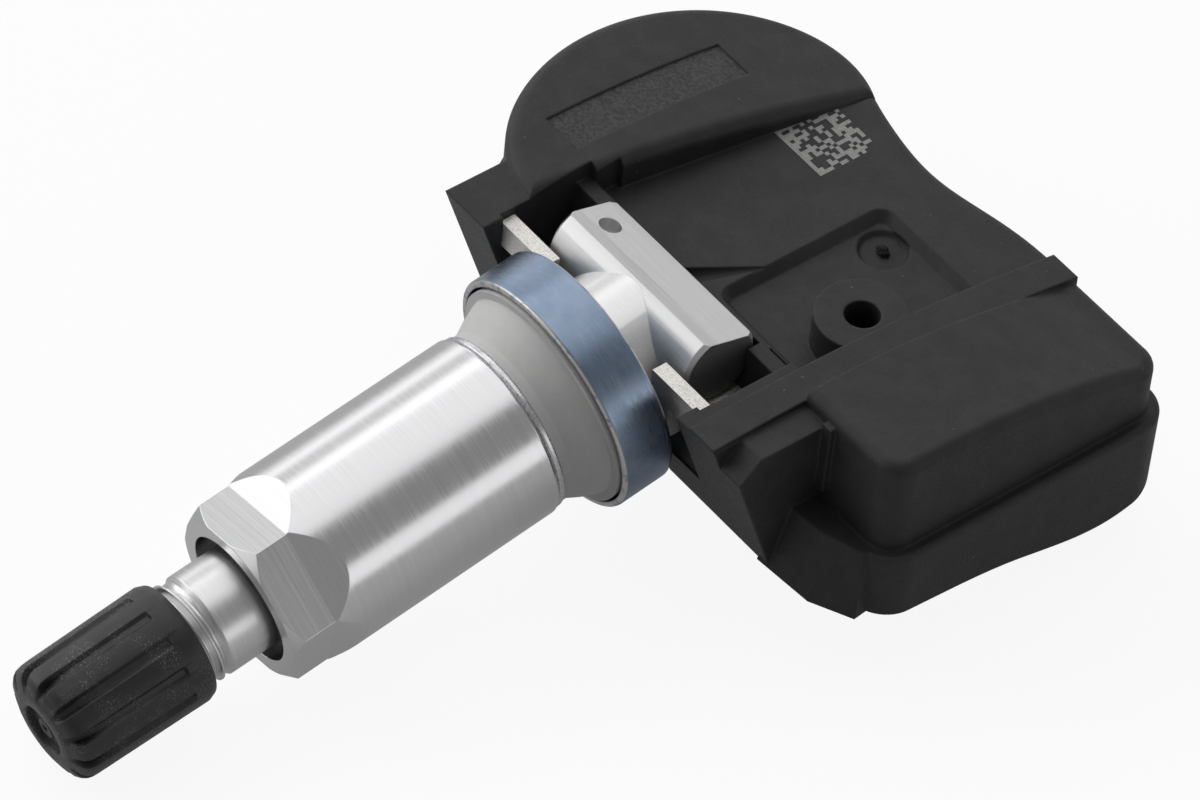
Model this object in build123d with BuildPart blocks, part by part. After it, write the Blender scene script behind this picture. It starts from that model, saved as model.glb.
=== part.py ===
from build123d import *
import math
import os

os.makedirs("parts", exist_ok=True)

# Tyre pressure sensor: a moulded housing that sits inside the tyre, and the valve that
# passes through the rim and carries it.
# Frame: the origin is the middle of the valve's cross bar, which is also the axis that the
# valve swivels about. X runs along the cross bar, Y from the valve cap to the back of the
# housing, Z up through the housing's top. All sizes are in millimetres.

# Clearances
slip = 0.05
bore_clearance = 0.3
cradle_clearance = 0.1
part_gap = 0.3

# Valve head
valve_tilt = 10.5
bar_radius = 3.1
bar_length = 15.3
bar_flat_tilt = 26.0
bar_flat_distance = 2.23
bar_end_chamfer = 0.3
tool_hole_radius = 0.85
tool_hole_depth = 1.0
tool_hole_x = -5.5
axis_drop = 2.6
neck_radius = 5.5
neck_back = 1.0
neck_front = 5.5

# Valve stem
thread_radius = 3.87
thread_root_radius = 3.42
thread_start = 38.9
stem_end = 48.6
stem_chamfer = 0.5
core_chamber_radius = 2.6
core_chamber_depth = 5.6
core_barrel_radius = 1.9
core_barrel_length = 8.0
air_bore_radius = 1.2

# Backing ring, grommet, washer and collar nut, one behind the other on the stem
ring_radius = 9.15
ring_wall = 0.5
ring_floor = 0.8
ring_depth = 4.1
grommet_collar_radius = 8.43
grommet_lip_width = 0.6
grommet_root_radius = 7.3
grommet_hub_radius = 6.7
grommet_stand_out = 0.2
grommet_collar_length = 1.3
grommet_hub_length = 1.9
washer_radius = 6.85
washer_thickness = 0.5
nut_radius = 7.0
nut_length = 22.1
nut_end_round = 0.35
hex_across_flats = 12.0
hex_length = 3.3
hex_runout = 2.4
hex_corner_angle = 13.0
nut_mouth_radius = 4.95
nut_mouth_depth = 3.2
nut_face_radius = 6.1

# Valve cap
cap_reach = 7.9
cap_length = 11.3
cap_radius = 4.55
cap_tip_radius = 4.43
cap_mouth_radius = 4.36
cap_mouth_taper = 0.6
cap_tip_round = 1.2
cap_groove_count = 12
cap_groove_radius = 0.5
cap_groove_depth = 0.32
cap_plain_band = 1.8
cap_recess_radius = 1.9
cap_recess_depth = 0.5
cap_nub_radius = 0.8
cap_seal_radius = 3.4
cap_seal_thickness = 1.0

# Valve core
core_slot_width = 1.1
core_slot_depth = 1.2
core_bore_radius = 0.8
core_spring_bore_radius = 1.2
core_spring_bore_length = 5.0
core_gasket_thickness = 1.0
core_recess = 0.4
pin_radius = 0.45
pin_collar_radius = 0.75
pin_collar_thickness = 0.5
pin_recess = 0.5
pin_travel = 1.0
seat_seal_radius = 1.4
seat_seal_thickness = 0.8
spring_wire_radius = 0.12
spring_turns = 5

# Housing, outside
dome_centre_x = -10.95
dome_centre_y = 12.45
dome_half_width = 10.9
dome_half_length = 14.5
dome_top = 2.2
dome_crown_y = 3.5
dome_crown_radius = 95.0
dome_edge_round = 1.0
valley_top = -0.6
valley_left_front = -10.4
valley_left_back = -7.7
valley_back = 21.0
dome_back_turn = 15
shoulder_x = -3.8
shoulder_y = 25.25
waist_x = 0.5
waist_y = 24.7
waist_start_x = 12.0
box_left = 14.7
box_right = 24.2
box_front = 1.6
box_back = 26.2
box_corner_round = 2.0
box_top = 2.8
box_crown_y = 3.0
box_crown_radius = 70.0
box_edge_round = 0.9
ridge_left = 12.1
ridge_top = 1.9
ridge_crown_y = 1.4
ridge_crown_radius = 132.0
plateau_left = 1.6
plateau_front = 4.4
plateau_back = 19.6
plateau_drop = 0.8
plateau_corner = 1.2
plateau_slope = 40
leaf_x = -0.9
leaf_y = 3.4
leaf_length = 6.2
leaf_radius = 0.85
leaf_end_radius = 0.1
leaf_turn = 64
boss_drop = 0.5
ledge_top = -5.4
ledge_width = 0.95
ledge_round = 0.4
tub_bottom = -10.6
belly_bottom = -13.45
belly_y = 21.0
underside_front_depth = -9.9
underside_level_depth = -11.1
underside_level_y = 4.5
underside_slope_depth = -12.0
underside_slope_y = 13.0
underside_back_depth = -9.8
gusset_right = 20.2
gusset_top_front = -0.35
gusset_bottom = -12.0
gusset_bottom_front = -2.3

# Housing, ears and the pocket between them
ear_inner = 10.7
ear_left_outer = -15.0
ear_right_outer = 17.0
ear_front = -6.4
ear_top = 1.45
ear_lean = 0.36
facet_left = 14.8
facet_back = -4.0
facet_drop = 1.75
pocket_half = 11.1
pocket_front = -3.4
pocket_back = 2.1
pocket_floor = -4.3
pocket_bottom = -6.5
neck_slot_half = 6.1
cradle_back = 3.3
cradle_top = 0.7
relief_left = 7.9
relief_length = 1.0
relief_depth = 2.4
rib_x = 17.0
rib_width = 0.9
rib_height = 7.0
port_x = 10.3
port_y = 10.2
port_boss_radius = 3.4
port_hole_radius = 1.3
datum_hole_radius = 0.8
datum_hole_x = 15.5
datum_hole_depth = 0.8
label_x = -14.35
label_y = 10.95
label_width = 3.5
label_length = 15.5
label_depth = 0.15
gate_x = 4.4
gate_y = 17.3
gate_radius = 1.9
gate_depth = 0.4
gate_taper = 35
shell_wall = 1.3
cavity_top = -2.9
cavity_front = 4.3

# Retaining clip
clip_thickness = 1.2
clip_half = 11.0
clip_top = 0.85
clip_tab_bottom = -1.3
clip_leg_outer = 7.9
clip_leg_inner = 5.9
clip_web_thickness = 1.0
clip_web_slot_back = 0.75

# Inside the housing
cell_radius = 10.0
cell_height = 3.2
cell_x = -9.0
cell_y = 14.5
tab_thickness = 0.2
tab_width = 4.0
tab_reach = 4.5
board_thickness = 1.0
board_top = -8.3
board_clearance = 0.4
chip_height = 2.0
sensor_chip_side = 6.0
transmitter_side = 5.0
transmitter_height = 0.9
transmitter_offset = 9.0
crystal_length = 3.2
crystal_width = 2.5
crystal_height = 0.8
crystal_offset = 5.5
coil_length = 7.0
coil_side = 2.2
coil_flange = 0.5
coil_winding_radius = 1.6
coil_core_radius = 0.9
coil_offset = 9.5
antenna_width = 1.0
antenna_thickness = 0.4
antenna_height = 3.0
capacitor_length = 1.6
capacitor_width = 0.8
capacitor_pitch = 2.2
capacitor_count = 4
capacitor_x = 13.5
port_seal_radius = 2.2
port_seal_bore = 0.9
potting_clearance = 0.05

# Directions and places worked out from the sizes above
tilt = math.radians(valve_tilt)
toward_cap = Vector(0, -math.cos(tilt), -math.sin(tilt))
across_up = Vector(0, -math.sin(tilt), math.cos(tilt))
stem_origin = across_up * -axis_drop
stem_axis = Axis(stem_origin, toward_cap)

# Plane through the stem's axis: its x is the radius and its y the distance towards the cap
stem_section = Plane(origin=stem_origin, x_dir=(1, 0, 0), z_dir=across_up * -1)


def stem_plane(distance):
    """Plane square to the stem, at a distance from the cross bar towards the cap."""
    return Plane(origin=stem_origin + toward_cap * distance, x_dir=(1, 0, 0), z_dir=toward_cap)


def turned(*profile):
    """Turn a closed profile of (radius, distance towards the cap) points about the stem."""
    with BuildSketch(stem_section) as section:
        with BuildLine():
            Polyline(*profile, close=True)
        make_face()
    return revolve(section.sketch, axis=stem_axis)


ring_back = neck_front
ring_front = ring_back + ring_depth
grommet_face = ring_front + grommet_stand_out
grommet_step = grommet_face + grommet_collar_length
grommet_end = grommet_step + grommet_hub_length
washer_front = grommet_end + washer_thickness
nut_front = washer_front + nut_length
cap_base = stem_end - cap_reach
cap_tip = cap_base + cap_length
core_shoulder = stem_end - core_chamber_depth
core_seat = core_shoulder - core_barrel_length
barrel_end = core_seat - pin_travel - part_gap
plug_radius = core_chamber_radius - slip

# Valve body: cross bar, neck and hollow stem, turned and milled from one piece
with BuildPart() as valve_body:
    turned(
        (0, neck_back),
        (neck_radius, neck_back),
        (neck_radius, neck_front),
        (thread_radius, neck_front),
        (thread_radius, thread_start),
        (thread_root_radius, thread_start + thread_radius - thread_root_radius),
        (thread_root_radius, stem_end - stem_chamfer),
        (thread_root_radius - stem_chamfer, stem_end),
        (0, stem_end),
    )
    with BuildSketch(Plane.YZ):
        Circle(bar_radius)
    extrude(amount=bar_length / 2, both=True)
    bar_ends = valve_body.faces().filter_by(Axis.X).sort_by(Axis.X)
    chamfer(bar_ends[0].edges() + bar_ends[-1].edges(), bar_end_chamfer)
    # The bar's top is milled to one flat, which falls away from the cap
    flat_angle = math.radians(valve_tilt - bar_flat_tilt)
    flat_normal = Vector(0, -math.sin(flat_angle), math.cos(flat_angle))
    flat_plane = Plane(origin=flat_normal * bar_flat_distance, x_dir=(1, 0, 0), z_dir=flat_normal)
    with BuildSketch(flat_plane.offset(bar_radius)):
        Rectangle(bar_length + bar_radius, 2 * bar_radius)
    extrude(amount=-bar_radius, mode=Mode.SUBTRACT)
    with BuildSketch(flat_plane):
        with Locations((tool_hole_x, 0)):
            Circle(tool_hole_radius)
    extrude(amount=-tool_hole_depth, mode=Mode.SUBTRACT)
    # Air way, core barrel and core chamber, bored from the cap end
    with BuildSketch(stem_section):
        with BuildLine():
            Polyline(
                (0, -2 * bar_radius),
                (air_bore_radius, -2 * bar_radius),
                (air_bore_radius, barrel_end - core_barrel_radius + air_bore_radius),
                (core_barrel_radius, barrel_end),
                (core_barrel_radius, core_shoulder - core_chamber_radius + core_barrel_radius),
                (core_chamber_radius, core_shoulder),
                (core_chamber_radius, stem_end),
                (0, stem_end),
                close=True,
            )
        make_face()
    revolve(axis=stem_axis, mode=Mode.SUBTRACT)

# Backing ring: a pressed steel cup that holds the grommet's collar
with BuildPart() as backing_ring:
    turned(
        (thread_radius + bore_clearance, ring_back),
        (ring_radius, ring_back),
        (ring_radius, ring_front),
        (ring_radius - ring_wall, ring_front),
        (ring_radius - ring_wall, ring_back + ring_floor),
        (thread_radius + bore_clearance, ring_back + ring_floor),
    )
    outer_rims = backing_ring.edges().filter_by(GeomType.CIRCLE).filter_by(
        lambda e: abs(e.radius - ring_radius) < slip
    )
    fillet(outer_rims, ring_wall / 2)

# Grommet: rubber seal with a collar inside the cup and a hub that fills the rim's hole
with BuildPart() as grommet:
    turned(
        (thread_radius + slip, ring_back + ring_floor),
        (grommet_collar_radius, ring_back + ring_floor),
        (grommet_collar_radius, grommet_face),
        (grommet_collar_radius - grommet_lip_width, grommet_face),
        (grommet_root_radius, grommet_step),
        (grommet_hub_radius, grommet_step + grommet_collar_radius - grommet_root_radius),
        (grommet_hub_radius, grommet_end),
        (thread_radius + slip, grommet_end),
    )
    waist_edges = grommet.edges().filter_by(GeomType.CIRCLE).filter_by(
        lambda e: abs(e.radius - grommet_root_radius) < slip
    )
    fillet(waist_edges, grommet_lip_width)

# Washer between the grommet and the nut
with BuildPart() as washer:
    turned(
        (thread_radius + bore_clearance, grommet_end),
        (washer_radius, grommet_end),
        (washer_radius, washer_front),
        (thread_radius + bore_clearance, washer_front),
    )
    washer_rims = washer.edges().filter_by(GeomType.CIRCLE).filter_by(
        lambda e: abs(e.radius - washer_radius) < slip
    )
    fillet(washer_rims, washer_thickness / 3)

# Collar nut: a long sleeve with a hexagon at its front end
with BuildPart() as collar_nut:
    turned(
        (thread_radius + slip, washer_front),
        (nut_radius, washer_front),
        (nut_radius, nut_front - nut_radius + nut_face_radius),
        (nut_face_radius, nut_front),
        (nut_mouth_radius, nut_front),
        (nut_mouth_radius, nut_front - nut_mouth_depth),
        (thread_radius + slip, nut_front - nut_mouth_depth),
    )
    end_rim = collar_nut.edges().filter_by(GeomType.CIRCLE).filter_by(
        lambda e: abs(e.radius - nut_radius) < slip
    ).sort_by(Axis.Y)
    fillet(end_rim[-1], nut_end_round)
    # Each flat is milled from the front and runs out up a slope into the sleeve
    flat_distance = hex_across_flats / 2
    hex_back = nut_front - hex_length
    for corner in range(6):
        flat_turn = hex_corner_angle + 30 + 60 * corner
        flat_side = Vector(1, 0, 0).rotate(stem_axis, flat_turn)
        mill_plane = Plane(origin=stem_origin, x_dir=flat_side, z_dir=flat_side.cross(toward_cap))
        with BuildSketch(mill_plane):
            with BuildLine():
                Polyline(
                    (flat_distance, nut_front + nut_radius),
                    (flat_distance, hex_back),
                    (nut_radius + slip, hex_back - hex_runout),
                    (2 * nut_radius, hex_back - hex_runout),
                    (2 * nut_radius, nut_front + nut_radius),
                    close=True,
                )
            make_face()
        extrude(amount=nut_radius, both=True, mode=Mode.SUBTRACT)

# Valve cap: ribbed plastic, hollow, with a round recess and a small nub in its tip
cap_bore = thread_radius + bore_clearance
cap_floor = stem_end + cap_seal_thickness
with BuildPart() as valve_cap:
    turned(
        (cap_bore, cap_base),
        (cap_mouth_radius, cap_base),
        (cap_radius, cap_base + cap_mouth_taper),
        (cap_tip_radius, cap_tip),
        (cap_recess_radius, cap_tip),
        (cap_recess_radius, cap_tip - cap_recess_depth),
        (cap_nub_radius, cap_tip - cap_recess_depth),
        (cap_nub_radius, cap_tip - cap_recess_depth / 2),
        (0, cap_tip - cap_recess_depth / 2),
        (0, cap_floor),
        (cap_bore, cap_floor),
    )
    tip_rim = valve_cap.edges().filter_by(GeomType.CIRCLE).filter_by(
        lambda e: abs(e.radius - cap_tip_radius) < slip
    ).sort_by(Axis.Y)
    fillet(tip_rim[0], cap_tip_round)
    groove_centre = cap_radius + cap_groove_radius - cap_groove_depth
    with BuildSketch(stem_plane(cap_base + cap_plain_band)):
        with PolarLocations(groove_centre, cap_groove_count):
            Circle(cap_groove_radius)
    extrude(amount=cap_length, mode=Mode.SUBTRACT)

with BuildPart() as cap_seal:
    with BuildSketch(stem_plane(stem_end)):
        Circle(cap_seal_radius)
    extrude(amount=cap_seal_thickness)

# Valve core, screwed into the stem's chamber, with its sprung pin
core_front = stem_end - core_recess
core_plug_back = core_shoulder + core_gasket_thickness
barrel_radius = core_barrel_radius - bore_clearance
spring_bore_back = core_plug_back - core_spring_bore_length
with BuildPart() as core_body:
    turned(
        (core_bore_radius, core_front),
        (plug_radius, core_front),
        (plug_radius, core_plug_back),
        (barrel_radius, core_plug_back),
        (barrel_radius, core_seat + seat_seal_thickness),
        (core_bore_radius, core_seat + seat_seal_thickness),
        (core_bore_radius, spring_bore_back),
        (core_spring_bore_radius, spring_bore_back),
        (core_spring_bore_radius, core_plug_back),
        (core_bore_radius, core_plug_back),
    )
    with BuildSketch(stem_plane(core_front)):
        Rectangle(3 * core_chamber_radius, core_slot_width)
    extrude(amount=-core_slot_depth, mode=Mode.SUBTRACT)

with BuildPart() as core_gasket:
    turned(
        (barrel_radius, core_shoulder),
        (plug_radius, core_shoulder),
        (plug_radius, core_plug_back),
        (barrel_radius, core_plug_back),
    )

pin_front = stem_end - pin_recess
collar_back = spring_bore_back + pin_travel + part_gap + 1.5 * spring_turns * spring_wire_radius * 2
with BuildPart() as core_pin:
    turned(
        (0, core_seat - seat_seal_thickness / 2),
        (pin_radius, core_seat - seat_seal_thickness / 2),
        (pin_radius, collar_back),
        (pin_collar_radius, collar_back),
        (pin_collar_radius, collar_back + pin_collar_thickness),
        (pin_radius, collar_back + pin_collar_thickness),
        (pin_radius, pin_front),
        (0, pin_front),
    )

with BuildPart() as core_seat_seal:
    turned(
        (pin_radius, core_seat),
        (seat_seal_radius, core_seat),
        (seat_seal_radius, core_seat + seat_seal_thickness),
        (pin_radius, core_seat + seat_seal_thickness),
    )

spring_length = collar_back - spring_bore_back - 2 * spring_wire_radius
spring_radius = (core_spring_bore_radius + pin_radius) / 2
spring_start = stem_plane(spring_bore_back + spring_wire_radius)
with BuildPart() as core_spring:
    with BuildLine() as coil:
        Helix(
            pitch=spring_length / spring_turns,
            height=spring_length,
            radius=spring_radius,
            center=spring_start.origin,
            direction=toward_cap,
        )
    with BuildSketch(Plane(origin=coil.line @ 0, z_dir=coil.line % 0)):
        Circle(spring_wire_radius)
    sweep()

# Housing: the moulded shell, open below, with the cradle for the cross bar at its front.
# The forms that make up its top are cut to crowned heights one by one and then joined.


def plan_outline(margin=0):
    """Plan of the shell: round over the cell, square over the electronics, with a margin."""
    wide = dome_half_width + margin
    deep = dome_half_length + margin
    with Locations((dome_centre_x, dome_centre_y)):
        Ellipse(wide, deep)
    # The back edge leaves the round along it
    turn = math.radians(dome_back_turn)
    dome_back = (dome_centre_x + wide * math.sin(turn), dome_centre_y + deep * math.cos(turn))
    along_round = (-wide * math.cos(turn), deep * math.sin(turn))
    waist_start = (waist_start_x, box_back + margin)
    shoulder = (shoulder_x, shoulder_y + margin)
    waist = (waist_x, waist_y + margin)
    with BuildLine() as edge:
        FilletPolyline(
            (dome_centre_x, dome_centre_y),
            (dome_centre_x, box_front - margin),
            (box_right + margin, box_front - margin),
            (box_right + margin, box_back + margin),
            waist_start,
            radius=box_corner_round + margin,
        )
        Spline(waist_start, waist, shoulder, dome_back, tangents=((-1, 0), along_round))
        Line(dome_back, (dome_centre_x, dome_centre_y))
    make_face(edge.edges())


def valley_left(y):
    """X of the dome's right edge, where the valley starts, at a place along Y."""
    share = (y - pocket_back) / (valley_back - pocket_back)
    return valley_left_front + share * (valley_left_back - valley_left_front)


def beside_dome(mode):
    """Plan of all that lies right of the dome."""
    far_back = dome_centre_y + dome_half_length
    with BuildLine() as edge:
        Polyline(
            (valley_left(ear_front), ear_front),
            (valley_left(far_back), far_back),
            (box_right, far_back),
            (box_right, ear_front),
            close=True,
        )
    make_face(edge.edges(), mode=mode)


def under_crown(top, crown_y, radius):
    """Cut the part down to a top that is crowned along Y."""
    with BuildSketch(Plane.YZ) as crown:
        with Locations((crown_y, top - radius)):
            Circle(radius)
    extrude(crown.sketch, amount=2 * box_right, both=True, mode=Mode.INTERSECT)


upper_depth = ledge_top - ledge_width
with BuildPart() as dome_form:
    with BuildSketch(Plane.XY.offset(upper_depth)):
        with Locations((dome_centre_x, dome_centre_y)):
            Ellipse(dome_half_width, dome_half_length)
        beside_dome(Mode.SUBTRACT)
    extrude(amount=dome_top - upper_depth)
    under_crown(dome_top, dome_crown_y, dome_crown_radius)
    crown_edges = dome_form.faces().sort_by(Axis.Z)[-1].edges()
    fillet(crown_edges.filter_by(GeomType.LINE, reverse=True), dome_edge_round)

# Shallow field sunk into the dome's crown
with BuildPart() as label_form:
    with BuildSketch(Plane.XY.offset(valley_top)):
        with Locations((label_x, label_y)):
            Rectangle(label_width, label_length)
    extrude(amount=dome_top - valley_top)
    with BuildSketch(Plane.YZ) as label_floor:
        with Locations((dome_crown_y, dome_top - dome_crown_radius)):
            Circle(dome_crown_radius - label_depth)
    extrude(label_floor.sketch, amount=2 * box_right, both=True, mode=Mode.SUBTRACT)

with BuildPart() as ridge_form:
    with BuildSketch(Plane.XY.offset(upper_depth)):
        with BuildLine():
            Polyline(
                (ridge_left, ear_front),
                (box_left, ear_front),
                (box_left, box_back),
                (ridge_left, box_back),
                close=True,
            )
        make_face()
    extrude(amount=ridge_top - upper_depth)
    under_crown(ridge_top, ridge_crown_y, ridge_crown_radius)
    # Its front leans as the ears do
    with BuildSketch(Plane.YZ):
        with BuildLine():
            Polyline(
                (ear_front - ear_lean * (ridge_top - ear_top), ridge_top),
                (ear_front + ear_lean * (ear_top - upper_depth), upper_depth),
                (box_back, upper_depth),
                (box_back, ridge_top),
                close=True,
            )
        make_face()
    extrude(amount=2 * box_right, both=True, mode=Mode.INTERSECT)

with BuildPart() as box_form:
    with BuildSketch(Plane.XY.offset(upper_depth)):
        with BuildLine():
            Polyline(
                (box_left, box_front),
                (box_right, box_front),
                (box_right, box_back),
                (box_left, box_back),
                close=True,
            )
        make_face()
    extrude(amount=box_top - upper_depth)
    fillet(box_form.edges().filter_by(Axis.Z).group_by(Axis.X)[-1], box_corner_round)
    under_crown(box_top, box_crown_y, box_crown_radius)
    box_rim = box_form.faces().sort_by(Axis.Z)[-1].edges().sort_by(Axis.X)[1:]
    fillet(box_rim, box_edge_round)

# Middle of the top, at the height of the valley, with its back edge rounded
with BuildPart() as middle_form:
    with BuildSketch(Plane.XY.offset(upper_depth)):
        plan_outline()
        beside_dome(Mode.INTERSECT)
    extrude(amount=valley_top - upper_depth)
    middle_back = middle_form.faces().sort_by(Axis.Z)[-1].edges().filter_by(GeomType.BSPLINE)
    fillet(middle_back, dome_edge_round)

# Skirt below the ledge, with its upper edge rounded
with BuildPart() as skirt_form:
    with BuildSketch(Plane.XY.offset(belly_bottom)):
        plan_outline(ledge_width)
    extrude(amount=ledge_top - belly_bottom)
    # What lies inside the front block is left out
    with BuildSketch(Plane.XY.offset(belly_bottom)):
        with BuildLine():
            Polyline(
                (ear_left_outer + 1, ear_front),
                (ear_right_outer - 1, ear_front),
                (ear_right_outer - 1, cavity_front - 1),
                (ear_left_outer + 1, cavity_front - 1),
                close=True,
            )
        make_face()
    extrude(amount=ledge_top - belly_bottom, mode=Mode.SUBTRACT)
    skirt_rim = skirt_form.faces().sort_by(Axis.Z)[-1].edges().sort_by(Axis.X)[-1]
    fillet(skirt_rim, ledge_round)

# Flared web between the right ear and the front of the skirt
with BuildPart() as gusset_form:
    web_left = ear_right_outer - 1
    skirt_right = box_right + ledge_width - box_corner_round
    with BuildSketch(Plane.XY.offset(ledge_top)):
        with BuildLine():
            Polyline(
                (web_left, gusset_top_front - ledge_width / 2),
                (gusset_right, gusset_top_front),
                (skirt_right, box_front - ledge_width + slip),
                (skirt_right, cavity_front),
                (web_left, cavity_front),
                close=True,
            )
        make_face()
    with BuildSketch(Plane.XY.offset(gusset_bottom)):
        with BuildLine():
            Polyline(
                (web_left, gusset_bottom_front - ledge_width / 2),
                (gusset_right + ledge_width, gusset_bottom_front),
                (skirt_right + ledge_width, gusset_top_front),
                (skirt_right, cavity_front),
                (web_left, cavity_front),
                close=True,
            )
        make_face()
    loft(ruled=True)

with BuildPart() as housing:
    add(skirt_form.part)
    add(gusset_form.part)
    add(middle_form.part)
    # Front block that becomes the two ears
    with BuildSketch(Plane.YZ.offset(ear_left_outer)):
        with BuildLine():
            Polyline(
                (ear_front, ear_top),
                (ear_front + ear_lean * (ear_top - belly_bottom), belly_bottom),
                (cavity_front, belly_bottom),
                (cavity_front, ear_top),
                close=True,
            )
        make_face()
    extrude(amount=ear_right_outer - ear_left_outer)
    add(dome_form.part)
    add(ridge_form.part)
    add(box_form.part)
    # Underside: level at the front, deeper at the back, where it turns up again
    far_front = ear_front - ledge_width
    far_back = dome_centre_y + dome_half_length + 2 * ledge_width
    with BuildSketch(Plane.YZ):
        with BuildLine():
            Spline(
                (far_front, underside_front_depth),
                (underside_level_y, underside_level_depth),
                (underside_slope_y, underside_slope_depth),
                (belly_y, belly_bottom),
                (far_back, underside_back_depth),
            )
            Polyline(
                (far_back, underside_back_depth),
                (far_back, 2 * box_top),
                (far_front, 2 * box_top),
                (far_front, underside_front_depth),
            )
        make_face()
    extrude(amount=2 * box_right, both=True, mode=Mode.INTERSECT)
    # Clear the middle between the ears, over the valley
    with BuildSketch(Plane.XY.offset(valley_top)):
        with BuildLine():
            Polyline(
                (valley_left_front, cradle_back),
                (ridge_left, cradle_back),
                (ridge_left, cavity_front + 1),
                (valley_left_front, cavity_front + 1),
                close=True,
            )
        make_face()
    extrude(amount=dome_top - valley_top, mode=Mode.SUBTRACT)
    # Pocket between the ears, open to the front, and the slot that the neck passes through
    pocket_high = dome_top - pocket_floor
    with BuildSketch(Plane.XY.offset(pocket_floor)):
        with Locations((0, (pocket_front + pocket_back) / 2)):
            Rectangle(2 * pocket_half, pocket_back - pocket_front)
    extrude(amount=pocket_high, mode=Mode.SUBTRACT)
    with BuildSketch(Plane.XY.offset(pocket_bottom)):
        with Locations((0, (ear_front + pocket_front) / 2 - 1)):
            Rectangle(2 * ear_inner, pocket_front - ear_front + 2)
    extrude(amount=dome_top - pocket_bottom, mode=Mode.SUBTRACT)
    with BuildSketch(Plane.XY.offset(belly_bottom - 1)):
        with Locations((0, (ear_front + pocket_back) / 2)):
            Rectangle(2 * neck_slot_half, pocket_back - ear_front)
    extrude(amount=dome_top - belly_bottom + 1, mode=Mode.SUBTRACT)
    # Slots in the ears that hold the clip's outer tabs
    slot_back = pocket_front + slip
    slot_front = pocket_front - clip_thickness - slip
    with BuildSketch(Plane.XY.offset(clip_tab_bottom - slip)):
        with Locations((0, (slot_front + slot_back) / 2)):
            Rectangle(2 * (clip_half + slip), slot_back - slot_front)
    extrude(amount=dome_top - clip_tab_bottom, mode=Mode.SUBTRACT)
    # Cradle wall top, and the half-round seat of the cross bar in it
    with BuildSketch(Plane.XY.offset(cradle_top)):
        with Locations((0, (pocket_back + cradle_back) / 2)):
            Rectangle(2 * pocket_half, cradle_back - pocket_back)
    extrude(amount=dome_top - cradle_top, mode=Mode.SUBTRACT)
    with BuildSketch(Plane.YZ):
        Circle(bar_radius + cradle_clearance)
    extrude(amount=bar_length / 2 + 3 * cradle_clearance, both=True, mode=Mode.SUBTRACT)
    # Relief behind the right end of the cradle wall
    with BuildSketch(Plane.XY.offset(cradle_top - relief_depth)):
        with Locations(((relief_left + pocket_half) / 2, cradle_back + relief_length / 2)):
            Rectangle(pocket_half - relief_left, relief_length)
    extrude(amount=relief_depth, mode=Mode.SUBTRACT)
    # Recessed plateau with the port's boss standing in it
    plateau_top = valley_top - plateau_drop
    with BuildSketch(Plane.XY.offset(valley_top)):
        with BuildLine():
            Polyline(
                (plateau_left, plateau_front),
                (ridge_left, plateau_front),
                (ridge_left, plateau_back),
                (plateau_left, plateau_back),
                close=True,
            )
        plateau = make_face()
        fillet(plateau.vertices().group_by(Axis.X)[0], plateau_corner)
    extrude(amount=-plateau_drop, taper=plateau_slope, mode=Mode.SUBTRACT)
    # Tapered groove behind the cross bar
    leaf_direction = Vector(1, 0, 0).rotate(Axis.Z, leaf_turn)
    with BuildSketch(Plane(origin=(leaf_x, leaf_y, valley_top), z_dir=leaf_direction)):
        Circle(leaf_radius)
    leaf_taper = math.degrees(math.atan((leaf_radius - leaf_end_radius) / leaf_length))
    extrude(amount=leaf_length, taper=leaf_taper, mode=Mode.SUBTRACT)
    with BuildSketch(Plane.XY.offset(plateau_top)):
        with Locations((port_x, port_y)):
            Circle(port_boss_radius)
    extrude(amount=ridge_top - boss_drop - plateau_top)
    add(label_form.part, mode=Mode.SUBTRACT)
    # Gate dish in the plateau, the port's hole through the top and a datum hole
    with BuildSketch(Plane.XY.offset(plateau_top)):
        with Locations((gate_x, gate_y)):
            Circle(gate_radius)
    extrude(amount=-gate_depth, taper=gate_taper, mode=Mode.SUBTRACT)
    with BuildSketch(Plane.XY.offset(cavity_top - 1)):
        with Locations((port_x, port_y)):
            Circle(port_hole_radius)
    extrude(amount=ridge_top - cavity_top + 1, mode=Mode.SUBTRACT)
    with BuildSketch(Plane.XY.offset(ear_top - datum_hole_depth)):
        with Locations((datum_hole_x, box_front)):
            Circle(datum_hole_radius)
    extrude(amount=datum_hole_depth + box_top - ear_top, mode=Mode.SUBTRACT)
    # Facet at the front of the right ear
    with BuildSketch(Plane.YZ.offset(facet_left)):
        with BuildLine():
            Polyline(
                (facet_back, ear_top),
                (ear_front - facet_drop, ear_top),
                (ear_front - facet_drop, ear_top - 2 * facet_drop),
                (ear_front + ear_lean * facet_drop, ear_top - facet_drop),
                close=True,
            )
        make_face()
    extrude(amount=2 * (ear_right_outer - facet_left), mode=Mode.SUBTRACT)
    # Rib on the front wall of the box
    with BuildSketch(Plane.XY.offset(box_top - rib_height)):
        with Locations((rib_x + rib_width / 2, box_front)):
            Rectangle(rib_width, rib_width)
    extrude(amount=rib_height - box_edge_round)
    # Cavity for the cell and the electronics, open below
    with BuildSketch(Plane.XY.offset(belly_bottom - 1)) as cavity_sketch:
        plan_outline(-shell_wall)
        with Locations((0, cavity_front - box_right)):
            Rectangle(2 * (pocket_half + shell_wall), 2 * box_right, mode=Mode.SUBTRACT)
    extrude(amount=cavity_top - belly_bottom + 1, mode=Mode.SUBTRACT)

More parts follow.
